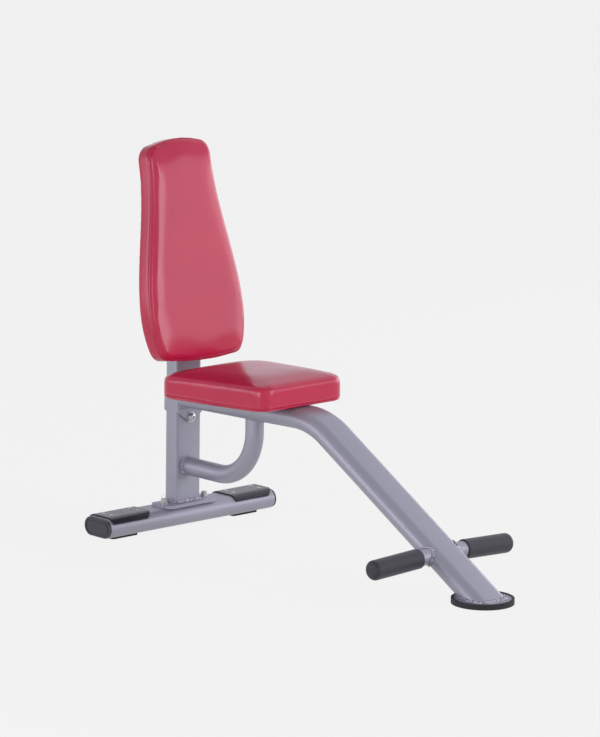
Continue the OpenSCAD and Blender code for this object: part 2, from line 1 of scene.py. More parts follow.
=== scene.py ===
# Looks of the upright utility bench: upholstery, welds, materials, stage.
# It is laid out as an add-on and run as a script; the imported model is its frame.
import math
import random

import bmesh
import bpy
from mathutils import Matrix, Vector
from mathutils.noise import noise as noise_value


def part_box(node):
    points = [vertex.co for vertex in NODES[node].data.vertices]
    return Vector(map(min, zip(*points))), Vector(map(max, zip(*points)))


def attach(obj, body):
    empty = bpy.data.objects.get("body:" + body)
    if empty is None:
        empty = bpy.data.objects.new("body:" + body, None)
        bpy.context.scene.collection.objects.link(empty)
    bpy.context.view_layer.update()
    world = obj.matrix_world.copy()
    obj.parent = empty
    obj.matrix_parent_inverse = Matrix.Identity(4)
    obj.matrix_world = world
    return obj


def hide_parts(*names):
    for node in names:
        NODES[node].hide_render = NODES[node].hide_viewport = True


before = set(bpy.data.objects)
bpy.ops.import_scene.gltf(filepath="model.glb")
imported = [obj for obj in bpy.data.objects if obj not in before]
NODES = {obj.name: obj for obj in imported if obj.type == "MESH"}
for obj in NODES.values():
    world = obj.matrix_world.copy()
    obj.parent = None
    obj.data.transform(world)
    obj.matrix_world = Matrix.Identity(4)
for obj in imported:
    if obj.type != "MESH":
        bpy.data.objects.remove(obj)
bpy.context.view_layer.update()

bl_info = {
    "name": "Upright Utility Bench",
    "version": (1, 0, 0),
    "blender": (4, 5, 0),
    "location": "View3D > Sidebar > Bench",
    "description": "Upholsters and finishes a fixed upright weight bench",
    "category": "Object",
}

ROOT = "root"
MM = 0.001

# Sizes in millimetres, measured from the rear foot's axis and the floor.
RAIL_Z = 348.0          # the rail's axis, carried back to the foot's axis
RAIL_START = 27.0
RAIL_RUN = 432.0        # the straight length up to the knee
KNEE_R = 210.0
KNEE_BEND = 32.499      # degrees from the rail down to the leg
LEG_RUN = 690.0         # runs on below the foot disc, then cut
TUBE_R = 25.5           # round sides of the flat-oval tube
TUBE_SIDES = 88
FLANGE_FRONT = 33.0
FLANGE_Z = 348.9
DISC_TOP = 12.4
POST_X = 2.0
PLATE_TOP = 67.5
UPRIGHT = 370.0         # the post's run above its plate, up to its bend
LEAN_R = 150.0
BACK_REST = 28.0        # the back pad's rear face, from the leaning axis
BACK_MID = 274.5        # the back pad's middle, up the leaning axis
BACK_L = 578.0
SEAT_X = 279.0
SEAT_LIFT = 29.0        # the seat's underside above the rail's axis
SEAT_HALF = 186.5       # half its length
SEAT_FRONT = 145.5      # half its width at the front
SEAT_REAR = 170.0       # half its width at the rear
PLATE_TRIM = 6.5


def middle(node):
    """Centre of a CAD node's box."""
    low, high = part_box(node)
    return (low + high) / 2


def srgb(r, g, b):
    """A colour as paint charts give it, 0 to 255, as the linear value shaders use."""
    def lin(c):
        c /= 255.0
        return c / 12.92 if c <= 0.04045 else ((c + 0.055) / 1.055) ** 2.4
    return (lin(r), lin(g), lin(b))


# ------------------------------------------------------------ shader building


def new_material(name):
    """A cleared node material with a Principled shader on its output."""
    mat = bpy.data.materials.new(name)
    mat.use_nodes = True
    tree = mat.node_tree
    tree.nodes.clear()
    out = tree.nodes.new("ShaderNodeOutputMaterial")
    bsdf = tree.nodes.new("ShaderNodeBsdfPrincipled")
    tree.links.new(bsdf.outputs["BSDF"], out.inputs["Surface"])
    return mat, tree, bsdf


def add(tree, kind, **values):
    """A shader node; values go to its inputs by name, or to its properties."""
    node = tree.nodes.new(kind)
    for key, value in values.items():
        name = key.replace("_", " ")
        if hasattr(node, key):
            setattr(node, key, value)
        else:
            node.inputs[name].default_value = value
    return node


def object_coords(tree):
    """Coordinates that stay with the piece."""
    return tree.nodes.new("ShaderNodeTexCoord").outputs["Object"]


def noise(tree, scale, detail=3.0, rough=0.5, vector=None):
    """Soft noise from 0 to 1; scale is in patches to the metre."""
    n = add(tree, "ShaderNodeTexNoise", Scale=scale, Detail=detail, Roughness=rough)
    tree.links.new(vector or object_coords(tree), n.inputs["Vector"])
    return n.outputs["Fac"]


def ramp(tree, fac, stops):
    """Colour ramp from (position, rgb) stops."""
    node = tree.nodes.new("ShaderNodeValToRGB")
    ramp_ = node.color_ramp
    while len(ramp_.elements) < len(stops):
        ramp_.elements.new(0.5)
    for e, (pos, col) in zip(ramp_.elements, stops):
        e.position = pos
        e.color = (*col, 1.0)
    tree.links.new(fac, node.inputs["Fac"])
    return node.outputs["Color"]


def span(tree, value, low, high, to_low, to_high):
    """Maps a value from one range to another."""
    node = tree.nodes.new("ShaderNodeMapRange")
    for key, v in (("From Min", low), ("From Max", high),
                   ("To Min", to_low), ("To Max", to_high)):
        node.inputs[key].default_value = v
    tree.links.new(value, node.inputs["Value"])
    return node.outputs["Result"]


def bump(tree, bsdf, height, strength, distance):
    """Fine relief from a height; distance is its depth in metres."""
    node = add(tree, "ShaderNodeBump", Strength=strength, Distance=distance)
    tree.links.new(height, node.inputs["Height"])
    tree.links.new(node.outputs["Normal"], bsdf.inputs["Normal"])


def scaled(rgb, k):
    """A darker or lighter tone of a colour."""
    return tuple(min(1.0, c * k) for c in rgb)


def paint_material(name, rgb, roughness=0.40, metallic=0.35):
    """Silver-grey enamel: fine flake, a little orange peel, duller in patches."""
    mat, tree, bsdf = new_material(name)
    flake = noise(tree, 900.0, 2.0, 0.6)
    cloud = noise(tree, 7.0, 4.0, 0.5)
    colour = ramp(tree, flake, [(0.30, scaled(rgb, 0.90)), (0.55, rgb),
                                (0.80, scaled(rgb, 1.12))])
    tree.links.new(colour, bsdf.inputs["Base Color"])
    bsdf.inputs["Metallic"].default_value = metallic
    tree.links.new(span(tree, cloud, 0.3, 0.7, roughness - 0.03, roughness + 0.04),
                   bsdf.inputs["Roughness"])
    bump(tree, bsdf, noise(tree, 420.0, 2.0, 0.5), 0.05, 0.0004)
    return mat


def weld_material(name, rgb):
    """Painted weld bead: stacked ripples under the same enamel, mottled with painted
    glints and painted shade.
    """
    mat, tree, bsdf = new_material(name)
    # painted glints and painted shade: random patches much lighter and darker than the
    # enamel stand for light on the bead's lumps
    spatter_and_painted_glints = noise(tree, 210.0, 3.0, 0.7)
    colour = ramp(tree, spatter_and_painted_glints, [(0.36, scaled(rgb, 0.45)), (0.50, rgb),
                                  (0.64, scaled(rgb, 1.7))])
    tree.links.new(colour, bsdf.inputs["Base Color"])
    bsdf.inputs["Metallic"].default_value = 0.45
    bsdf.inputs["Roughness"].default_value = 0.28
    bump(tree, bsdf, noise(tree, 330.0, 3.0, 0.6), 0.5, 0.0012)
    return mat


def zinc_material(name, rgb, roughness=0.26):
    """Zinc-plated steel: brushed turning marks and slight tarnish."""
    mat, tree, bsdf = new_material(name)
    tarnish = noise(tree, 90.0, 4.0, 0.6)
    colour = ramp(tree, tarnish, [(0.3, scaled(rgb, 0.8)), (0.7, rgb)])
    tree.links.new(colour, bsdf.inputs["Base Color"])
    bsdf.inputs["Metallic"].default_value = 1.0
    tree.links.new(span(tree, tarnish, 0.3, 0.7, roughness, roughness + 0.12),
                   bsdf.inputs["Roughness"])
    bump(tree, bsdf, noise(tree, 1500.0, 2.0, 0.5), 0.12, 0.0002)
    return mat


def rubber_material(name, rgb, roughness=0.7, grain=700.0, depth=0.0004):
    """Black moulded rubber: dusty high spots over a fine matte grain."""
    mat, tree, bsdf = new_material(name)
    dust = noise(tree, 45.0, 5.0, 0.6)
    colour = ramp(tree, dust, [(0.35, rgb), (0.75, scaled(rgb, 1.5))])
    tree.links.new(colour, bsdf.inputs["Base Color"])
    tree.links.new(span(tree, dust, 0.3, 0.7, roughness - 0.06, roughness + 0.06),
                   bsdf.inputs["Roughness"])
    bump(tree, bsdf, noise(tree, grain, 3.0, 0.6), 0.35, depth)
    return mat


def foam_material(name, rgb):
    """Dense foam grip: open pores with painted shade in them, and a soft sheen."""
    mat, tree, bsdf = new_material(name)
    cells = tree.nodes.new("ShaderNodeTexVoronoi")
    cells.inputs["Scale"].default_value = 620.0
    tree.links.new(object_coords(tree), cells.inputs["Vector"])
    pores = cells.outputs["Distance"]
    # painted shade: darker down in the pores and lighter on their rims, following the
    # bump's height
    fine = ramp(tree, pores, [(0.05, scaled(rgb, 0.6)), (0.5, rgb),
                              (0.9, scaled(rgb, 1.35))])
    worn = ramp(tree, noise(tree, 85.0, 3.0, 0.6),
                [(0.36, (0.70,) * 3), (0.66, (1.0,) * 3)])
    colour = tree.nodes.new("ShaderNodeMix")
    colour.data_type = "RGBA"
    colour.blend_type = "MULTIPLY"
    colour.inputs["Factor"].default_value = 1.0
    tree.links.new(fine, colour.inputs["A"])
    tree.links.new(worn, colour.inputs["B"])
    tree.links.new(colour.outputs["Result"], bsdf.inputs["Base Color"])
    bsdf.inputs["Roughness"].default_value = 0.62
    bsdf.inputs["Sheen Weight"].default_value = 0.15
    bsdf.inputs["Sheen Roughness"].default_value = 0.5
    bump(tree, bsdf, pores, 0.35, 0.0005)
    return mat


def plastic_material(name, rgb, roughness=0.42, grain=0.2, shine=0.5):
    """Moulded black plastic with a spark-eroded grain."""
    mat, tree, bsdf = new_material(name)
    cloud = noise(tree, 30.0, 4.0, 0.5)
    colour = ramp(tree, cloud, [(0.3, scaled(rgb, 0.85)), (0.7, scaled(rgb, 1.2))])
    tree.links.new(colour, bsdf.inputs["Base Color"])
    tree.links.new(span(tree, cloud, 0.3, 0.7, roughness - 0.04, roughness + 0.05),
                   bsdf.inputs["Roughness"])
    bsdf.inputs["Specular IOR Level"].default_value = shine
    bump(tree, bsdf, noise(tree, 1100.0, 2.0, 0.5), grain, 0.0003)
    return mat


def vinyl_material(name, rgb, roughness=0.21):
    """Upholstery vinyl: pebbled grain over long soft creases."""
    mat, tree, bsdf = new_material(name)
    cells = tree.nodes.new("ShaderNodeTexVoronoi")
    cells.inputs["Scale"].default_value = 700.0
    tree.links.new(object_coords(tree), cells.inputs["Vector"])
    pebble = cells.outputs["Distance"]
    tone = noise(tree, 5.0, 3.0, 0.5)
    colour = ramp(tree, tone, [(0.3, scaled(rgb, 0.94)), (0.7, scaled(rgb, 1.05))])
    tree.links.new(colour, bsdf.inputs["Base Color"])
    tree.links.new(span(tree, tone, 0.3, 0.7, roughness - 0.03, roughness + 0.05),
                   bsdf.inputs["Roughness"])
    bump(tree, bsdf, pebble, 0.06, 0.0003)
    return mat


def plywood_material(name, rgb):
    """Plywood: veneer layers seen on the edge, long grain on the face."""
    mat, tree, bsdf = new_material(name)
    place = add(tree, "ShaderNodeMapping")
    place.inputs["Scale"].default_value = (6.0, 90.0, 90.0)
    tree.links.new(object_coords(tree), place.inputs["Vector"])
    grain = noise(tree, 1.5, 6.0, 0.6, place.outputs["Vector"])
    colour = ramp(tree, grain, [(0.3, scaled(rgb, 0.7)), (0.7, scaled(rgb, 1.15))])
    tree.links.new(colour, bsdf.inputs["Base Color"])
    bsdf.inputs["Roughness"].default_value = 0.65
    bump(tree, bsdf, grain, 0.2, 0.0005)
    return mat


# ------------------------------------------------------------ mesh helpers


def finish_piece(bm, name, material, smooth_angle=None):
    """Turns a bmesh into a named piece that rides on the frame."""
    bmesh.ops.remove_doubles(bm, verts=bm.verts, dist=1e-6)
    bmesh.ops.recalc_face_normals(bm, faces=bm.faces)
    mesh = bpy.data.meshes.new(name)
    for f in bm.faces:
        f.smooth = True
    bm.to_mesh(mesh)
    bm.free()
    obj = bpy.data.objects.new(name, mesh)
    bpy.context.collection.objects.link(obj)
    mesh.materials.append(material)
    if smooth_angle is not None:
        bpy.context.view_layer.objects.active = obj
        for o in bpy.context.selected_objects:
            o.select_set(False)
        obj.select_set(True)
        bpy.ops.object.shade_smooth_by_angle(angle=math.radians(smooth_angle))
        obj.select_set(False)
    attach(obj, ROOT)
    return obj


def rounded_outline(bm, corners, radii, segments=10):
    """A flat face with rounded corners from a few corner points."""
    verts = [bm.verts.new((x, y, 0.0)) for x, y in corners]
    face = bm.faces.new(verts)
    for v, r in zip(verts, radii):
        bmesh.ops.bevel(bm, geom=[v], offset=r, offset_type="OFFSET",
                        affect="VERTICES", segments=segments, profile=0.5,
                        material=-1)
    bm.faces.ensure_lookup_table()
    return bm.faces[0]


def apply_modifier(obj, name):
    """Makes a modifier's result the object's own mesh."""
    for o in bpy.context.selected_objects:
        o.select_set(False)
    bpy.context.view_layer.objects.active = obj
    obj.select_set(True)
    bpy.ops.object.modifier_apply(modifier=name)
    obj.select_set(False)


def swollen(obj, held_below, pressure, cap):
    """Blows the padded shape up a little as tight upholstery; the base stays put."""
    mesh = obj.data
    start = [v.co.copy() for v in mesh.vertices]
    held = obj.vertex_groups.new(name="held")
    held.add([v.index for v in mesh.vertices if v.co.z < held_below], 1.0, "ADD")
    cloth = obj.modifiers.new("swell", "CLOTH")
    cs = cloth.settings
    cs.quality = 6
    cs.mass = 0.3
    cs.tension_stiffness = 40.0
    cs.compression_stiffness = 40.0
    cs.shear_stiffness = 20.0
    cs.bending_stiffness = 2.0
    cs.use_pressure = True
    cs.uniform_pressure_force = pressure
    cs.vertex_group_mass = "held"
    cs.effector_weights.gravity = 0.0
    cloth.collision_settings.use_collision = False
    frames = 20
    cloth.point_cache.frame_start = 1
    cloth.point_cache.frame_end = frames
    scene = bpy.context.scene
    for f in range(1, frames + 1):
        scene.frame_set(f)
    apply_modifier(obj, cloth.name)
    for v, a in zip(obj.data.vertices, start):
        d = v.co - a
        if d.length > cap:
            v.co = a + d * (cap / d.length)
    bm = bmesh.new()
    bm.from_mesh(obj.data)
    relaxed(bm, [v for v in bm.verts if v.co.z > held_below - 6 * MM], 4)
    bm.to_mesh(obj.data)
    bm.free()
    obj.vertex_groups.clear()
    scene.frame_set(1)


def relaxed(bm, verts, rounds):
    """Evens out a surface by sliding each point towards its neighbours."""
    for _ in range(rounds):
        bmesh.ops.smooth_vert(bm, verts=verts, factor=0.5, use_axis_x=True,
                              use_axis_y=True, use_axis_z=True)


def flattened(obj, height, margin, reach):
    """Fairs the broad top of a pad; reach gives the half width at each point."""
    bm = bmesh.new()
    bm.from_mesh(obj.data)
    top = [v for v in bm.verts if v.co.z > height
           and abs(v.co.x) < reach(v.co) - margin]
    relaxed(bm, top, 60)
    bm.to_mesh(obj.data)
    bm.free()


def remeshed(bm, name, voxel):
    """Even quads over a closed shape, ready to swell."""
    bmesh.ops.remove_doubles(bm, verts=bm.verts, dist=1e-5)
    bmesh.ops.recalc_face_normals(bm, faces=bm.faces)
    mesh = bpy.data.meshes.new(name)
    bm.to_mesh(mesh)
    bm.free()
    obj = bpy.data.objects.new(name, mesh)
    bpy.context.collection.objects.link(obj)
    mod = obj.modifiers.new("even", "REMESH")
    mod.mode = "VOXEL"
    mod.voxel_size = voxel
    mod.use_smooth_shade = True
    apply_modifier(obj, mod.name)
    bm = bmesh.new()
    bm.from_mesh(obj.data)
    relaxed(bm, bm.verts[:], 3)
    bm.to_mesh(obj.data)
    bm.free()
    return obj


def pad_levels(bm, faces, half_x, half_y, levels):
    """Raises a flat outline through (inset, height) levels and closes its top."""
    at = None
    for inset, height in levels:
        if at is None:
            verts = bm.verts[:]
            at = (0.0, 0.0)
        else:
            res = bmesh.ops.extrude_face_region(bm, geom=faces)
            verts = [g for g in res["geom"] if isinstance(g, bmesh.types.BMVert)]
            if at[2]:
                bmesh.ops.delete(bm, geom=faces, context="FACES_ONLY")
            faces = [g for g in res["geom"] if isinstance(g, bmesh.types.BMFace)]
        kx = (1 - inset / half_x) / (1 - at[0] / half_x)
        ky = (1 - inset / half_y) / (1 - at[0] / half_y)
        bmesh.ops.scale(bm, vec=(kx, ky, 1.0), verts=verts)
        bmesh.ops.translate(bm, vec=(0, 0, height - at[1]), verts=verts)
        at = (inset, height, len(at) == 3)
    return faces


def seam_line(bm, height, reach, profile):
    """Cuts loops round the sides beside a seam and moves them out or in."""
    step = 0.0007
    n = int(reach / step)
    for k in range(-n, n + 1):
        bmesh.ops.bisect_plane(bm, geom=bm.verts[:] + bm.edges[:] + bm.faces[:],
                               dist=1e-7, plane_co=(0, 0, height + k * step),
                               plane_no=(0, 0, 1))
    bm.normal_update()
    moves = []
    for v in bm.verts:
        d = v.co.z - height
        n = Vector((v.normal.x, v.normal.y, 0.0))
        if abs(d) > reach + step or n.length < 0.35:
            continue
        moves.append((v, n.normalized() * profile(d)))
    for v, m in moves:
        v.co += m


def tucked(groove, lip, side):
    """Seam profile: a sewn groove with a plump lip on one side of it."""
    def profile(d):
        return (-groove * math.exp(-(d / 0.0011) ** 2)
                + lip * math.exp(-((d * side - 0.0026) / 0.0015) ** 2)
                + 0.45 * lip * math.exp(-((d * side + 0.0042) / 0.0024) ** 2))
    return profile


def welted(groove, ridge):
    """Seam profile: a narrow ridge of doubled vinyl between two grooves."""
    def profile(d):
        return (ridge * math.exp(-(d / 0.0013) ** 2)
                - groove * math.exp(-((abs(d) - 0.0036) / 0.0015) ** 2))
    return profile


def refined(obj, levels=1):
    """Subdivides a mesh smoothly, for the seams to be cut into."""
    mod = obj.modifiers.new("smooth", "SUBSURF")
    mod.levels = levels
    mod.render_levels = levels
    apply_modifier(obj, mod.name)


def placed(obj, matrix, material):
    mesh = obj.data
    mesh.transform(matrix)
    for p in mesh.polygons:
        p.use_smooth = True
    mesh.materials.clear()
    mesh.materials.append(material)
    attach(obj, ROOT)
    return obj


# ------------------------------------------------------------ settings


class BenchFinishSettings(bpy.types.PropertyGroup):
    paint: bpy.props.FloatVectorProperty(
        name="Frame paint", description="Enamel on the tubes and plates",
        subtype="COLOR", size=3, min=0.0, max=1.0,
        default=srgb(157, 157, 170))
    vinyl: bpy.props.FloatVectorProperty(
        name="Vinyl", description="Upholstery colour", subtype="COLOR", size=3,
        min=0.0, max=1.0, default=srgb(192, 30, 71))
    grip: bpy.props.FloatVectorProperty(
        name="Grip foam", description="Foot peg grips", subtype="COLOR", size=3,
        min=0.0, max=1.0, default=srgb(41, 38, 48))
    rubber: bpy.props.FloatVectorProperty(
        name="Rubber", description="Feet", subtype="COLOR", size=3, min=0.0,
        max=1.0, default=srgb(19, 18, 22))
    plastic: bpy.props.FloatVectorProperty(
        name="Plastic", description="End caps and anti-slip covers",
        subtype="COLOR", size=3, min=0.0, max=1.0, default=srgb(48, 45, 56))


class BenchPadSettings(bpy.types.PropertyGroup):
    rail_rise: bpy.props.FloatProperty(
        name="Seat pitch", description="Rise of the seat towards the front",
        subtype="ANGLE", default=math.radians(1.5))
    recline: bpy.props.FloatProperty(
        name="Recline", description="Lean of the back pad", subtype="ANGLE",
        default=math.radians(10.6103))
    voxel: bpy.props.FloatProperty(
        name="Mesh size", description="Size of the pads' quads", subtype="DISTANCE",
        default=0.0045, min=0.002, max=0.02)
    pressure: bpy.props.FloatProperty(
        name="Stuffing", description="Pressure that fills the pads", default=4.0)
    seam_depth: bpy.props.FloatProperty(
        name="Seam depth", description="How far a seam sinks", subtype="DISTANCE",
        default=0.0020)
    seam_lip: bpy.props.FloatProperty(
        name="Seam lip", description="Plump edge beside a seam",
        subtype="DISTANCE", default=0.0009)


class BenchStageSettings(bpy.types.PropertyGroup):
    backdrop: bpy.props.FloatProperty(
        name="Backdrop", description="Brightness of the backdrop", default=0.8796,
        min=0.0, max=1.0)
    room: bpy.props.FloatProperty(
        name="Room light", description="Soft light from the walls", default=0.98,
        min=0.0)
    ceiling: bpy.props.FloatProperty(
        name="Ceiling", description="Brightness of the ceiling against the walls",
        default=0.78, min=0.0, max=1.0)
    strip: bpy.props.FloatProperty(
        name="Left strip", description="Power of the narrow light on the left",
        unit="POWER", default=29.0, min=0.0)
    key: bpy.props.FloatProperty(
        name="Key light", description="Power of the upright light in front",
        unit="POWER", default=36.0, min=0.0)
    right: bpy.props.FloatProperty(
        name="Right light", description="Power of the softbox on the right",
        unit="POWER", default=43.0, min=0.0)
    left: bpy.props.FloatProperty(
        name="Left light", description="Power of the long softbox on the left",
        unit="POWER", default=56.0, min=0.0)
    front: bpy.props.FloatProperty(
        name="Front light", description="Power of the softbox ahead of the bench",
        unit="POWER", default=24.0, min=0.0)


def settings():
    """The finish, pad and stage settings."""
    scene = bpy.context.scene
    return scene.bench_finish, scene.bench_pads, scene.bench_stage


# ------------------------------------------------------------ stage


FOOT_X = middle("foot_tube").x      # the rear foot's axis, where the bench begins


def bench_point(x, y, z):
    """A point given in millimetres from the rear foot's axis on the floor."""
    return Vector((FOOT_X + x * MM, y * MM, z * MM))


class BENCH_OT_stage(bpy.types.Operator):
    """Floor, backdrop, soft studio light and the camera"""
    bl_idname = "bench.stage"
    bl_label = "Stage"

    def execute(self, context):
        _, _, stage = settings()
        scene = context.scene
        scene.view_settings.view_transform = "Standard"
        self.backdrop(scene, stage)
        self.floor(stage)
        self.lamps(stage)
        self.camera(scene)
        return {"FINISHED"}

    @staticmethod
    def shown_ray(tree):
        """1 for rays that show the backdrop itself: seen, mirrored or refracted."""
        path = tree.nodes.new("ShaderNodeLightPath")
        total = path.outputs["Is Camera Ray"]
        for name in ("Is Glossy Ray", "Is Transmission Ray"):
            plus = add(tree, "ShaderNodeMath", operation="MAXIMUM")
            tree.links.new(total, plus.inputs[0])
            tree.links.new(path.outputs[name], plus.inputs[1])
            total = plus.outputs["Value"]
        return total

    @staticmethod
    def shaded_wall(tree, centre, start, full, dark):
        """Brightness by direction: white, but darker round one direction."""
        way = tree.nodes.new("ShaderNodeTexCoord").outputs["Generated"]
        dot = add(tree, "ShaderNodeVectorMath", operation="DOT_PRODUCT")
        dot.inputs[1].default_value = Vector(centre).normalized()
        tree.links.new(way, dot.inputs[0])
        shade = tree.nodes.new("ShaderNodeMapRange")
        shade.interpolation_type = "SMOOTHSTEP"
        for key, v in (("From Min", start), ("From Max", full), ("To Min", 1.0),
                       ("To Max", dark)):
            shade.inputs[key].default_value = v
        tree.links.new(dot.outputs["Value"], shade.inputs["Value"])
        return shade.outputs["Result"]

    def backdrop(self, scene, stage):
        world = bpy.data.worlds.new("bench_room")
        world.use_nodes = True
        tree = world.node_tree
        tree.nodes.clear()
        out = tree.nodes.new("ShaderNodeOutputWorld")
        path = tree.nodes.new("ShaderNodeLightPath")
        seen = add(tree, "ShaderNodeBackground", Strength=1.0)
        seen.inputs["Color"].default_value = (stage.backdrop,) * 3 + (1.0,)
        lit = tree.nodes.new("ShaderNodeBackground")
        tint = tree.nodes.new("ShaderNodeMix")
        tint.data_type = "RGBA"
        tint.inputs["A"].default_value = (1.0, 0.985, 1.0, 1.0)
        tint.inputs["B"].default_value = (0.98, 0.965, 1.06, 1.0)
        levels = []
        overhead, beyond = (-0.10, -0.35, 0.93), (-0.17, 0.67, 0.72)
        for level, shades in (
                (stage.room, ((overhead, 0.36, 0.62, 0.12),)),
                (stage.backdrop, ((overhead, 0.52, 0.76, stage.ceiling),
                                  (beyond, 0.78, 0.97, 1.3)))):
            for shade in shades:
                times = add(tree, "ShaderNodeMath", operation="MULTIPLY")
                times.inputs[0].default_value = 1.0
                if isinstance(level, float):
                    times.inputs[0].default_value = level
                else:
                    tree.links.new(level, times.inputs[0])
                tree.links.new(self.shaded_wall(tree, *shade), times.inputs[1])
                level = times.outputs["Value"]
            levels.append(level)
        pick = tree.nodes.new("ShaderNodeMix")
        shown = self.shown_ray(tree)
        tree.links.new(shown, pick.inputs["Factor"])
        tree.links.new(shown, tint.inputs["Factor"])
        tree.links.new(tint.outputs["Result"], lit.inputs["Color"])
        tree.links.new(levels[0], pick.inputs["A"])
        tree.links.new(levels[1], pick.inputs["B"])
        tree.links.new(pick.outputs["Result"], lit.inputs["Strength"])
        mix = tree.nodes.new("ShaderNodeMixShader")
        tree.links.new(path.outputs["Is Camera Ray"], mix.inputs["Fac"])
        tree.links.new(lit.outputs["Background"], mix.inputs[1])
        tree.links.new(seen.outputs["Background"], mix.inputs[2])
        tree.links.new(mix.outputs["Shader"], out.inputs["Surface"])
        scene.world = world

    def floor(self, stage):
        mat = bpy.data.materials.new("studio_floor")
        mat.use_nodes = True
        tree = mat.node_tree
        tree.nodes.clear()
        out = tree.nodes.new("ShaderNodeOutputMaterial")
        shadow = add(tree, "ShaderNodeBsdfDiffuse")
        shadow.inputs["Color"].default_value = (0.06, 0.06, 0.06, 1.0)
        glow = add(tree, "ShaderNodeEmission", Strength=1.0)
        glow.inputs["Color"].default_value = (stage.backdrop - 0.0275,) * 3 + (1.0,)
        seen = tree.nodes.new("ShaderNodeAddShader")
        plain = add(tree, "ShaderNodeBsdfDiffuse")
        plain.inputs["Color"].default_value = (0.62, 0.62, 0.62, 1.0)
        mix = tree.nodes.new("ShaderNodeMixShader")
        tree.links.new(shadow.outputs["BSDF"], seen.inputs[0])
        tree.links.new(glow.outputs["Emission"], seen.inputs[1])
        tree.links.new(self.shown_ray(tree), mix.inputs["Fac"])
        tree.links.new(plain.outputs["BSDF"], mix.inputs[1])
        tree.links.new(seen.outputs["Shader"], mix.inputs[2])
        tree.links.new(mix.outputs["Shader"], out.inputs["Surface"])
        bm = bmesh.new()
        bmesh.ops.create_grid(bm, x_segments=8, y_segments=8, size=45.0)
        mesh = bpy.data.meshes.new("studio_floor")
        bm.to_mesh(mesh)
        bm.free()
        floor = bpy.data.objects.new("studio_floor", mesh)
        mesh.materials.append(mat)
        bpy.context.collection.objects.link(floor)

    def lamps(self, stage):
        target = bench_point(450, 0, 700)
        for name, place, size, power in (
                ("left_softbox", (-1050, -3900, 1050), (5.0, 1.7), stage.left),
                ("left_strip", (1800, -3700, 1000), (0.9, 1.7), stage.strip),
                ("key_softbox", (4430, 990, 1300), (1.4, 1.9), stage.key),
                ("front_softbox", (3744, 2764, 1300), (3.2, 1.9), stage.front),
                ("right_softbox", (816, 4184, 1150), (3.6, 1.9), stage.right)):
            lamp = bpy.data.lights.new(name, "AREA")
            lamp.shape = "RECTANGLE"
            lamp.size, lamp.size_y = size
            lamp.energy = power
            lamp.color = (0.99, 0.97, 1.03)
            obj = bpy.data.objects.new(name, lamp)
            obj.location = bench_point(*place)
            aim = (target - obj.location).to_track_quat("-Z", "Y")
            obj.rotation_euler = aim.to_euler()
            obj.visible_camera = False
            bpy.context.collection.objects.link(obj)

    def camera(self, scene):
        azimuth, rise, roll = (math.radians(a) for a in (46.72, 10.861, 0.811))
        back = Vector((math.sin(azimuth) * math.cos(rise),
                       -math.cos(azimuth) * math.cos(rise), math.sin(rise)))
        right = Vector((math.cos(azimuth), math.sin(azimuth), 0.0))
        up = back.cross(right)
        right, up = (right * math.cos(roll) + up * math.sin(roll),
                     up * math.cos(roll) - right * math.sin(roll))
        focal, view_height = 4200.0, 737.0
        lens = bpy.data.cameras.new("camera")
        lens.sensor_width = 36.0
        lens.lens = lens.sensor_width * focal / view_height
        lens.clip_end = 200.0
        eye = bpy.data.objects.new("camera", lens)
        place = Matrix((right, up, back)).transposed().to_4x4()
        distance = 10.61767
        place.translation = bench_point(444.42, 0, 482.61) + back * distance
        eye.matrix_world = place
        bpy.context.collection.objects.link(eye)
        scene.camera = eye


# ------------------------------------------------------------ frame finish


def dress(names, material):
    """Gives the frame's own parts a finish."""
    for name in names:
        obj = NODES[name]
        for s in obj.material_slots:
            s.material = material


